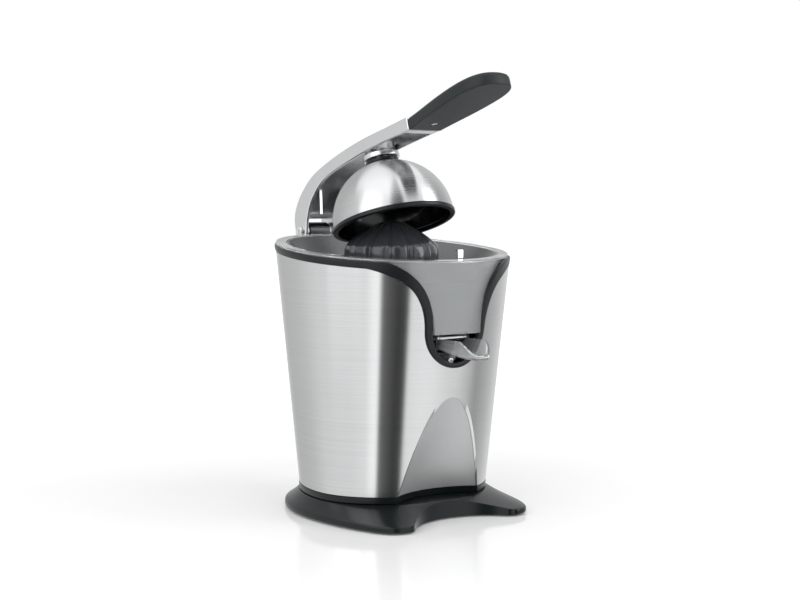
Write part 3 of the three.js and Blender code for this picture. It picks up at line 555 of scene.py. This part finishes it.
def build_shell(looks):
    edge = BEZEL_TOP - BEZEL_HEIGHT - GAP
    outside = between(body_ring(0, SHELL_Z), body_ring(0, edge, RIM_SLOPE), 14)
    inside = between(body_ring(SHELL_WALL, edge, RIM_SLOPE), body_ring(SHELL_WALL, SHELL_Z), 2)
    shell = loft("steel_body", outside + inside, True)
    cut(shell, cut_prism("cutter", OUTER_CUT, GAP),
        recess_cylinder("cutter", 0, 5, RECESS_TOP + 6, 20))
    for x in HINGE_SCREWS_X:
        cut(shell, hole(1.9, 80, 130, (x, 0, HINGE_SCREW_Z), "y", 32))
    finished(shell, looks["steel"], "stand", "brushed_steel", "steel_shell", weighted=False)
    true_normals(shell)

    panel = recess_cylinder("recess_skin", GAP + 1.5, SHELL_Z, RECESS_TOP, 20)
    cut(panel, recess_cylinder("cutter", GAP, 10, RECESS_TOP + 9, 20))
    keep(panel, body_solid("limit", SHELL_WALL + GAP, SHELL_Z, RECESS_TOP))
    finished(panel, looks["panel"], "stand", "panel_metal", "recess_panel", crease=50)


def on_body(x, z):
    side, front, _ = body_half(z)
    return Vector((x, -front * math.sqrt(max(1 - (x / side) ** 2, 0)), z))


def resampled(line, count):
    """A 3-D line at even steps."""
    lengths = [0.0]
    for a, b in zip(line, line[1:]):
        lengths.append(lengths[-1] + (b - a).length)
    out = []
    k = 0
    for i in range(count + 1):
        target = lengths[-1] * i / count
        while k < len(line) - 2 and lengths[k + 1] < target:
            k += 1
        t = (target - lengths[k]) / max(lengths[k + 1] - lengths[k], 1e-9)
        out.append(line[k].lerp(line[k + 1], min(max(t, 0), 1)))
    return out


def trim_edge(curves, z0, join_x):
    """One edge of the trim's right half, from the back of the rim to the bottom of the cut-out."""
    ring = [Vector(p) for p in body_ring(0, z0, RIM_SLOPE)]
    half = list(reversed(ring[:len(ring) // 2 + 1]))
    back = [p for p in half if p.y >= -1]
    side = [back[-1]] + [p for p in half if p.y < -1 and p.x > join_x]
    front = [on_body(x, z) for x, z in reversed(half_cut(curves, 0, 24)) if x < join_x - 1]
    bottom = [front.pop(0)]
    while front and bottom[-1].z > 147:
        bottom.append(front.pop(0))
    return (resampled(back, 40) + resampled(side + bottom[:1], 26)[1:]
            + resampled(bottom, 34)[1:] + resampled([bottom[-1]] + front, 26)[1:])


def build_trim(looks):
    low = trim_edge(OUTER_CUT, BEZEL_TOP - BEZEL_HEIGHT, 72.5)
    high = trim_edge(INNER_CUT, BEZEL_TOP, 59.5)
    low += [Vector((-p.x, p.y, p.z)) for p in reversed(low[1:-1])]
    high += [Vector((-p.x, p.y, p.z)) for p in reversed(high[1:-1])]
    rings = []
    for a, b in zip(low, high):
        across = b - a
        width = across.length
        across.normalize()
        section = [(0, -BEZEL_INNER), (0, -0.2), (0.12, 0.2), (0.45, 0.42), (width * 0.25, 0.58),
                   (width * 0.5, 0.68), (width * 0.75, 0.62), (width - 0.5, 0.42),
                   (width - 0.14, 0.15), (width, -0.3), (width, -BEZEL_INNER)]
        rings.append([tuple(a + across * u + body_normal(*(a.lerp(b, u / width))) * d)
                      for u, d in section])
    trim = loft("rim_trim", rings, True)
    finished(trim, looks["trim"], "stand", "trim_plastic", "rim_bezel", weighted=False)


def build_front_panel(looks):
    panel = cut(body_solid("spout_panel", 5, 114, 128.5, inwards_top=10),
                body_solid("cutter", 7, 113, 129.5, inwards_top=12))
    keep(panel, cut_prism("limit", OUTER_CUT, 3))
    join(panel, soften(block("shelf", -18.5, 18.5, -69.6, -50, 126.8, 128.5), 0.5))
    for side in (-1, 1):
        x = 15 * side
        join(panel, soften(block("ear", x - 1, x + 1, SPOUT_PIN_Y - 1.9, SPOUT_PIN_Y + 1.9, 127.5,
                                SPOUT_PIN_Z + 2), 0.4))
        cut(panel, hole(SPOUT_PIN_RADIUS + GAP, x - 2, x + 2, (0, SPOUT_PIN_Y, SPOUT_PIN_Z), "x", 32))
    cut(panel, hole(1.7, -90, -50, (0, 0, PANEL_SCREW_Z), "y", 32))
    finished(panel, looks["gloss"], "stand", "gloss_black", "front_panel")
    profile = rounded([(0, -69.0), (0.9, -69.0), (1.1, -69.5), (2.0, -69.5), (2.6, -69.0), (2.6, -68.2),
                       (1.4, -68.2), (1.4, -62), (0, -62)], 0.2, 3)
    screw = turned("spout_panel_screw", profile, (0, 0, PANEL_SCREW_Z), "y", 48)
    finished(screw, looks["bright"], "stand", "bright_metal", "panel_screw")


# ---------------------------------------------------------------- container and what sits in it
def ring_half(inwards):
    return 91.5 - inwards, 79.6 - inwards, 103.2 - inwards


def ring_level(inwards, z):
    return egg_ring(lambda _: ring_half(inwards), z, RIM_SLOPE)


def pane_sheet(name, grow):
    """The clear pane behind the cut-out: a curved sheet inside the trim's inner edge."""
    def sheet(inwards):
        half = (88 - inwards, 79.6 - inwards, 60)
        return between(egg_ring(lambda _: half, FLOOR_Z - 22),
                       egg_ring(lambda _: half, RING_Z - 0.5, RIM_SLOPE), 8)
    form = loft(name, sheet(0) + list(reversed(sheet(WALL))), True)
    keep(form, cut_prism("limit", INNER_CUT, grow))
    return cut(form, block("back", -200, 200, -40, 200, 0, 400),
               block("low", -200, 200, -200, 200, 0, FLOOR_Z + 0.05))


def build_container(looks):
    def piece(obj, crease=32):
        finished(obj, looks["clear"], "stand", "clear_plastic", "juice_container", crease=crease,
                 weighted=False)

    low_out = egg_ring(lambda _: body_half(FLOOR_Z, 3.4), FLOOR_Z)
    low_in = egg_ring(lambda _: body_half(FLOOR_Z, 3.4 + WALL), FLOOR_Z + WALL)
    high_out, high_in = ring_level(3.2, RING_Z - 1.9), ring_level(3.2 + WALL, RING_Z - 1.9)
    chimney = [(13, FLOOR_Z + WALL), (13, 177.4), (12.6, 178), (10.9, 178), (10.5, 177.6),
               (10.5, FLOOR_Z)]
    stack = [[(r * math.sin(2 * math.pi * i / ROUND), CONE_Y - r * math.cos(2 * math.pi * i / ROUND), z)
              for i in range(ROUND)] for r, z in chimney]
    tub = loft("clear_container", between(low_out, high_out, 8) + between(high_in, low_in, 8)
               + stack, True)
    cut(tub, block("outlet", -10, 10, -70, -60, FLOOR_Z - 4, FLOOR_Z + 4))
    piece(tub)
    piece(pane_sheet("clear_pane", -GAP - 0.1))
    section = rounded([(0, 0), (8, 0), (8, -1.7), (0, -1.7)], 0.5, 4)
    piece(loft("clear_ring", [ring_level(i, RING_Z + h) for i, h in section], True))


def build_filter(looks):
    """The pulp bowl, with slots round its floor, and its upright tab."""
    sheet = 1.4

    def wall(inwards, z0):
        low = egg_ring(lambda _: (62 - inwards, 50 - inwards, 74 - inwards), z0)
        return between(low, ring_level(8.4 + inwards, RING_Z - 0.6), 14)

    bowl = loft("filter_basin", wall(0, 179) + list(reversed(wall(sheet, 179 + sheet))))
    cut(bowl, hole(14.5, 170, 190, (0, CONE_Y, 0), "z", TURNED))
    slot_outline = rounded([(20, -1.2), (40, -1.2), (40, 1.2), (20, 1.2)], 1.1)
    for i in range(12):
        a = (i + 0.5) * math.pi / 6
        turn = [(u * math.cos(a) - v * math.sin(a), u * math.sin(a) + v * math.cos(a) + CONE_Y)
                for u, v in slot_outline]
        cut(bowl, prism("slot", turn, "z", 174, 184))
    finished(bowl, looks["filter"], "stand", "filter_steel", "filter_bowl")

    tab = join(soften(block("filter_post", 15.4, 20.6, -57.6, -56.4, 191, 204.5), 0.3, 2),
               soften(block("flange", 15.5, 20.5, -57.5, -54.6, 203.3, 204.5), 0.3, 2))
    finished(tab, looks["bright"], "stand", "bright_metal", "filter_tab")


def build_cone(looks):
    """The ribbed cone: straight fins below, rounded ribs that meet at the tip above."""
    ribs = 14
    sides = ribs * 20
    outside = [(37.0, CONE_BASE), (37.3, CONE_BASE + 0.3), (37.3, 190), (37.3, 196), (37.3, 201), (37.1, 204),
               (36.2, 206.6), (33, 210.2), (28.5, 213.8), (23, 217.6), (17, 221.2), (10, 224.8),
               (6, 225.9), (3, 226.5), (1.5, 226.7)]
    inside = [(9, 217.0), (14, 216.5), (27, 210.4), (34.3, 202), (34.3, CONE_BASE)]
    hub = [(0, 198.3), (4.05, 198.3), (4.05, CONE_BASE), (9, CONE_BASE)]
    rings = []
    for radius, z in reversed(outside):
        ring = []
        depth = 2.3 if z < 207 else 2.3 * max(0.35, 1 - (z - 207) / 30) * min(1, radius / 14)
        for i in range(sides):
            a = 2 * math.pi * i / sides
            wave = (0.5 + 0.5 * math.cos(ribs * a)) ** 5
            r = radius - depth * wave
            ring.append((r * math.cos(a), r * math.sin(a) + CONE_Y, z))
        rings.append(ring)
    turns = [2 * math.pi * i / sides for i in range(sides)]
    for r, z in list(reversed(inside)) + list(reversed(hub)):
        rings.append([(r * math.cos(a), r * math.sin(a) + CONE_Y, z) for a in turns])
    cone = loft("ribbed_cone", rings)
    finished(cone, looks["cone"], "spindle", "cone_plastic", "press_cone", weighted=False)


def build_spout(looks):
    root, nose_y, reach = -60, -92.5, 107

    def plan(w, nose, back):
        tip = nose_y - nose
        right = bezier((w, nose_y), (w, nose_y - nose * 0.6), (w * 0.6, tip), (0, tip), 16)
        return [(-w, back)] + [(-x, y) for x, y in right] + list(reversed(right))[1:] + [(w, back)]

    side = ([(root, 138.9), (root, 132.8), (-reach, 125.4), (-reach, 127.6)]
            + bezier((-reach, 127.6), (-103.5, 128.2), (-99.5, 138.4), (nose_y, 138.9), 16)[1:])
    floor_cut = [(root + 5, 150), (root + 5, 133.8), (-reach - 5, 125.7), (-reach - 5, 150)]
    chute = keep(prism("chute", plan(13, reach + nose_y, root), "z", 120, 141),
                 prism("limit", side, "x", -14, 14))
    hollow = keep(prism("hollow", plan(11.4, reach + nose_y - 1.6, -50), "z", 120, 150),
                  prism("limit", floor_cut, "x", -14, 14))
    cut(chute, hollow)
    for x in (-12.2, 12.2):
        lug = rounded([(0, x - 0.8), (2.4, x - 0.8), (2.4, x + 0.8), (0, x + 0.8)], 0.2)
        join(chute, turned("lug", lug, (0, SPOUT_PIN_Y, SPOUT_PIN_Z), "x", 40))
    cut(chute, hole(SPOUT_PIN_RADIUS + 0.1, -20, 20, (0, SPOUT_PIN_Y, SPOUT_PIN_Z), "x", 32))
    finished(chute, looks["clear"], "spout", "clear_plastic", "drip_spout")
    pin = rounded([(0, -16.6), (SPOUT_PIN_RADIUS, -16.6), (SPOUT_PIN_RADIUS, 16.6), (0, 16.6)], 0.3)
    finished(turned("spout_rod", pin, (0, SPOUT_PIN_Y, SPOUT_PIN_Z), "x", 32), looks["plain"],
             "stand", "bright_metal", "spout_pin")


# ---------------------------------------------------------------- hinge
def along_pin(name, x0, x1, outer, inner=0.0, edge=0.3, sides=64):
    profile = rounded([(inner, x0), (outer, x0), (outer, x1), (inner, x1)], edge)
    return turned(name, profile, (0, PIN_Y, PIN_Z), "x", sides)


def build_hinge(looks):
    tongue = [(PIN_Y + 8, 196)] + arc(PIN_Y, PIN_Z, 8, 0, 180, 32) + [(PIN_Y - 8, 196)]
    base = rounded([(98, 205), (122.5, 205), (124, 198), (114, 170), (98, 166)], 1.5)
    body = join(soften(prism("hinge_bracket", tongue, "x", -10.2, 10.2), 0.7),
                soften(prism("base", base, "x", -16, 16), 0.8))
    cut(body, body_solid("cutter", -BEZEL_PROUD - GAP, 150, 222),
        along_pin("hole", -30, 30, PIN_RADIUS + GAP, 0, 0.01))
    for i, x in enumerate(HINGE_SCREWS_X):
        for y0, radius in ((100, 1.9), (116, 3.7)):
            cut(body, hole(radius, y0, 140, (x, 0, HINGE_SCREW_Z), "y", 40))
        head = rounded([(0, 117.6), (0.9, 117.6), (1.2, 118.2), (2.8, 118.2), (3.3, 117.6), (3.3, 116.3),
                        (1.6, 116.3), (1.6, 98.1), (0, 98.1)], 0.2, 3)
        screw = turned(f"bracket_screw_{i + 1}", head, (x, 0, HINGE_SCREW_Z), "y", 48)
        finished(screw, looks["plain"], "stand", "plain_steel", f"hinge_screw_{i + 1}")
    finished(body, looks["gloss"], "stand", "gloss_black", "hinge_block")
    pin = turned("lever_pin", rounded([(0, -15), (1.4, -15), (1.4, -17), (4.4, -17), (4.4, -15.4),
                                       (PIN_RADIUS, -15.4), (PIN_RADIUS, 17.4), (1.4, 17.4), (1.4, 15),
                                       (0, 15)], 0.35), (0, PIN_Y, PIN_Z), "x", 64)
    finished(pin, looks["bright"], "stand", "bright_metal", "hinge_pin")
    finished(along_pin("pin_clip", 15.4, 16.4, 4.9, 3.1), looks["plain"], "stand", "plain_steel",
             "hinge_clip")
    for name, x in (("left", -12.4), ("right", 10.5)):
        washer = along_pin(f"pin_washer_{name}", x, x + 1.9, 7, 3.2)
        finished(washer, looks["plain"], "stand", "plain_steel", f"hinge_washer_{name}")


# ---------------------------------------------------------------- lever
def offset_line(points, distance):
    out = []
    for i, p in enumerate(points):
        before, after = points[max(i - 1, 0)], points[min(i + 1, len(points) - 1)]
        along = Vector((after[0] - before[0], after[1] - before[1])).normalized()
        out.append((p[0] + along.y * distance, p[1] - along.x * distance))
    return out


def build_arm(looks):
    top, low = spline(ARM_TOP, 72), spline(ARM_LOW, 64)
    outline = top + arc(PIN_Y, PIN_Z, 8.6, 0, -180, 32) + low
    arm = soften(prism("cast_lever", outline, "x", -ARM_HALF, ARM_HALF), 1.3, 4, 60)
    roof = [p for p in offset_line(top, ARM_WALL) if p[0] > -28.5 and p[1] > 226.5]
    hollow = roof + [(150, 226.5), (150, 190), (60, 190), (-28.5, 260)]
    inner = ARM_HALF - ARM_WALL
    web = block("web", -inner - 0.5, inner + 0.5, 100, 128, 229, 231)
    rib = prism("rib", rounded([(109, 230), (127, 230), (118, 256), (110, 252)], 1.0), "x", -1.2, 1.2)
    full = prism("limit", outline, "x", -ARM_HALF + 0.5, ARM_HALF - 0.5)
    cut(arm, prism("cutter", hollow, "x", -inner, inner))
    join(arm, keep(join(web, rib), full))
    cut(arm, along_pin("hole", -30, 30, PIN_RADIUS + 0.1, 0, 0.01))
    finished(arm, looks["cast"], "lever", "cast_metal", "lever_arm")


def build_grip(looks):
    slope, w, length = 0.315, 20.8, 93.4
    screw_along = 12             # from the root to the screw
    seat = Matrix(((-1, 0, 0, 0), (0, -math.cos(slope), math.sin(slope), (-36.5 + CENTRE_Y) * MM),
                   (0, math.sin(slope), math.cos(slope), 296.3 * MM), (0, 0, 0, 1)))
    right = (bezier((15, -0.8), (16.2, 18), (w, 38), (w, 62), 28)
             + bezier((w, 62), (w, 86), (13, length), (0, length), 28)[1:])
    outline = right + [(-x, y) for x, y in reversed(right[:-1])]
    levels = [(1.3, -1.2), (0.45, -1.0), (0.1, -0.55), (0, 0), (0, 2.6), (0, 5.2), (0.25, 6.7), (0.9, 7.8),
              (2.0, 8.5), (3.6, 8.75), (5.6, 8.8)]
    rings = [[(x, y, h) for x, y in inset(outline, d)] for d, h in levels]
    grip = loft("soft_grip", rings, matrix=seat)
    seat_hole = [(0, -3), (3.1, -3), (3.1, 0.6), (1.9, 0.6), (1.9, 5.6), (0, 5.6)]
    cut(grip, turned("hole", seat_hole, (0, screw_along, 0), "z", 48, seat))
    finished(grip, looks["grip"], "lever", "grip_plastic", "handle_grip")
    head = rounded([(0, 0.0), (0.9, 0.0), (1.1, -0.9), (2.4, -0.9), (2.8, -0.5), (2.8, 0.3), (1.5, 0.3),
                    (1.5, 5.2), (0, 5.2)], 0.15, 3)
    screw = turned("handle_screw", head, (0, screw_along, 0), "z", 48, seat)
    finished(screw, looks["plain"], "lever", "plain_steel", "grip_screw")


# ---------------------------------------------------------------- dome
def dome_seat():
    return (Matrix.Translation(Vector((0, (DOME_Y + CENTRE_Y) * MM, DOME_Z * MM)))
            @ Matrix.Rotation(-DOME_TILT, 4, "X"))


def dome_cap(radius, hole, steps):
    start = math.asin(hole / radius)
    out = []
    for i in range(steps + 1):
        a = math.pi / 2 + (start - math.pi / 2) * i / steps
        out.append((radius * math.sin(a), DOME_CENTRE + radius * math.cos(a)))
    return out


def build_dome(looks):
    seat = dome_seat()

    def piece(name, profile, look, body, slot, cad, sides=160):
        finished(turned(name, profile, sides=sides, matrix=seat), looks[look], body, slot, cad,
                 weighted=False)

    outside = dome_cap(DOME_RADIUS, 6.2, 40)
    inside = dome_cap(DOME_RADIUS - DOME_WALL, 6.2, 40)
    skin = outside + list(reversed(inside))
    piece("dome_skin", skin, "dome_steel", "dome", "brushed_steel", "press_dome")
    liner_out = DOME_RADIUS - DOME_WALL - GAP
    liner = dome_cap(liner_out, 6.2, 32) + list(reversed(dome_cap(liner_out - 1.3, 6.2, 32)))
    piece("dome_lining", liner, "gloss", "dome", "gloss_black", "dome_liner")
    piece("dome_rim", rounded([(44.9, 0), (48.4, 0), (48.9, 0.6), (48.9, 3.2), (44.9, 3.2)], 0.4),
          "trim", "dome", "trim_plastic", "dome_seal")
    piece("neck_gasket", rounded([(6.4, 51.9), (13.2, 50.2), (13.2, 52.7), (6.4, 52.7)], 0.4), "trim",
          "dome", "trim_plastic", "neck_ring")
    collar = [(6.9, 54), (14.2, 54), (14.6, 54.5), (14.6, 57.5), (12.2, 60), (12.2, 66), (0, 66), (0, 61),
              (6.9, 61)]
    piece("lever_collar", rounded(collar, 0.5), "cast", "lever", "cast_metal", "arm_collar")


# ---------------------------------------------------------------- CAD nodes that keep their mesh
def dress_kept_nodes(looks):
    kept = {
        "black": ["bottom_cover", "inner_deck", "spring_post", "micro_switch"],
        "nylon": ["shaft_bush", "gear_tray", "motor_pinion", "drive_gear", "thrust_cup",
                  "switch_plunger"],
        "plain": ["motor", "drive_shaft", "return_spring", "hinge_plate", "dome_stem"],
    }
    for look, names in kept.items():
        for name in names:
            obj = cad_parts[name]
            for slot in obj.material_slots:
                slot.material = looks[look]


# ---------------------------------------------------------------- studio
def build_floor():
    """A large pale floor with a faint sheen, and a painted glow that is weak near the middle and stronger
    further out.
    """
    half, rows = 6.0, 24
    points, faces = [], []
    for i in range(rows + 1):
        for j in range(rows + 1):
            points.append((half * (2 * i / rows - 1), half * (2 * j / rows - 1), 0))
    for i in range(rows):
        for j in range(rows):
            a = i * (rows + 1) + j
            faces.append((a, a + rows + 1, a + rows + 2, a + 1))
    mesh = bpy.data.meshes.new("floor")
    mesh.from_pydata(points, [], faces)
    floor = bpy.data.objects.new("floor", mesh)
    bpy.context.collection.objects.link(floor)
    look = surface("floor_white", (0.93, 0.93, 0.93), 0.1, (40, 40, 40), bump=0.0, tint=0.005,
                   vary=0.02, Specular_IOR_Level=0.5, Emission_Color=(1, 1, 1, 1))
    tree = look.node_tree
    # Painted light: the floor glows weakly under the object and more strongly further away, which brightens
    # it towards white.
    place = node(tree, "ShaderNodeTexCoord")
    away = node(tree, "ShaderNodeVectorMath", operation="LENGTH")
    painted_glow = node(tree, "ShaderNodeMapRange", {"From Min": 0.2, "From Max": 1.3, "To Min": 0.05,
                                             "To Max": 0.5})
    tree.links.new(place.outputs["Object"], away.inputs[0])
    tree.links.new(away.outputs["Value"], painted_glow.inputs["Value"])
    tree.links.new(painted_glow.outputs["Result"], tree.nodes["Principled BSDF"].inputs["Emission Strength"])
    floor.data.materials.append(look)
    floor.visible_glossy = False


def build_world():
    """A soft white room with darker walls to the sides, seen only in reflections."""
    world = bpy.data.worlds.new("studio")
    bpy.context.scene.world = world
    world.use_nodes = True
    tree = world.node_tree
    tree.nodes.clear()
    place = node(tree, "ShaderNodeTexCoord")
    split = node(tree, "ShaderNodeSeparateXYZ")
    heading = node(tree, "ShaderNodeMath", operation="ARCTAN2")
    turn = node(tree, "ShaderNodeMapRange", {"From Min": -math.pi, "From Max": math.pi})
    walls = node(tree, "ShaderNodeValToRGB")
    tree.links.new(place.outputs["Generated"], split.inputs["Vector"])
    tree.links.new(split.outputs["X"], heading.inputs[0])
    tree.links.new(split.outputs["Y"], heading.inputs[1])
    tree.links.new(heading.outputs["Value"], turn.inputs["Value"])
    tree.links.new(turn.outputs["Result"], walls.inputs["Fac"])
    # (heading in degrees from +Y towards +X, brightness)
    stops = [(-180, 0.78), (-168, 0.76), (-165, 0.04), (-156, 0.04), (-148, 0.08), (-138.5, 0.13),
             (-135.5, 1.0), (-129, 0.92), (-122, 0.74), (-103, 0.66), (-60, 0.64), (-25, 0.5), (5, 0.42),
             (30, 0.5), (67, 0.55), (110, 0.3), (145, 0.66), (165, 0.8), (179, 0.8)]
    ramp = walls.color_ramp
    while len(ramp.elements) < len(stops):
        ramp.elements.new(0.5)
    for stop, (angle, value) in zip(ramp.elements, stops):
        stop.position = (angle + 180) / 360
    for stop, (angle, value) in zip(ramp.elements, stops):
        stop.color = (value, value, value, 1)
    room = node(tree, "ShaderNodeBackground", {"Strength": 1.4})
    tree.links.new(walls.outputs["Color"], room.inputs["Color"])
    plain = node(tree, "ShaderNodeBackground", {"Color": (1, 1, 1, 1), "Strength": 1.0})
    seen = node(tree, "ShaderNodeLightPath")
    mix = node(tree, "ShaderNodeMixShader")
    out = node(tree, "ShaderNodeOutputWorld")
    tree.links.new(seen.outputs["Is Camera Ray"], mix.inputs["Fac"])
    tree.links.new(room.outputs["Background"], mix.inputs[1])
    tree.links.new(plain.outputs["Background"], mix.inputs[2])
    tree.links.new(mix.outputs["Shader"], out.inputs["Surface"])


def soft_light(name, place, target, size, power):
    data = bpy.data.lights.new(name, "AREA")
    data.shape = "RECTANGLE"
    data.size, data.size_y = size
    data.energy = power
    lamp = bpy.data.objects.new(name, data)
    bpy.context.collection.objects.link(lamp)
    lamp.location = place
    lamp.rotation_mode = "QUATERNION"
    lamp.rotation_quaternion = (Vector(target) - Vector(place)).to_track_quat("-Z", "Y")


def build_studio():
    bpy.context.scene.view_settings.view_transform = "Standard"
    build_floor()
    build_world()
    middle = (0, 0, 0.15)
    soft_light("top_light", (0.0, 0.1, 1.6), middle, (2.4, 2.4), 12)
    soft_light("left_light", (-1.5, -0.2, 0.8), middle, (1.2, 1.5), 6)
    soft_light("right_light", (1.1, -1.0, 0.7), middle, (0.7, 1.2), 8)


def build_camera():
    data = bpy.data.cameras.new("camera")
    data.sensor_width = 36
    data.lens = CAMERA_LENS
    data.clip_start, data.clip_end = 0.01, 50
    camera = bpy.data.objects.new("camera", data)
    bpy.context.collection.objects.link(camera)
    camera.location = CAMERA_PLACE
    camera.rotation_mode = "QUATERNION"
    camera.rotation_quaternion = Vector(CAMERA_AIM).to_track_quat("-Z", "Y")
    bpy.context.scene.camera = camera


build_camera()
looks = make_looks()
build_foot(looks)
build_shell(looks)
build_trim(looks)
build_front_panel(looks)
build_container(looks)
build_filter(looks)
build_cone(looks)
build_spout(looks)
build_hinge(looks)
build_arm(looks)
build_grip(looks)
build_dome(looks)
dress_kept_nodes(looks)
build_studio()
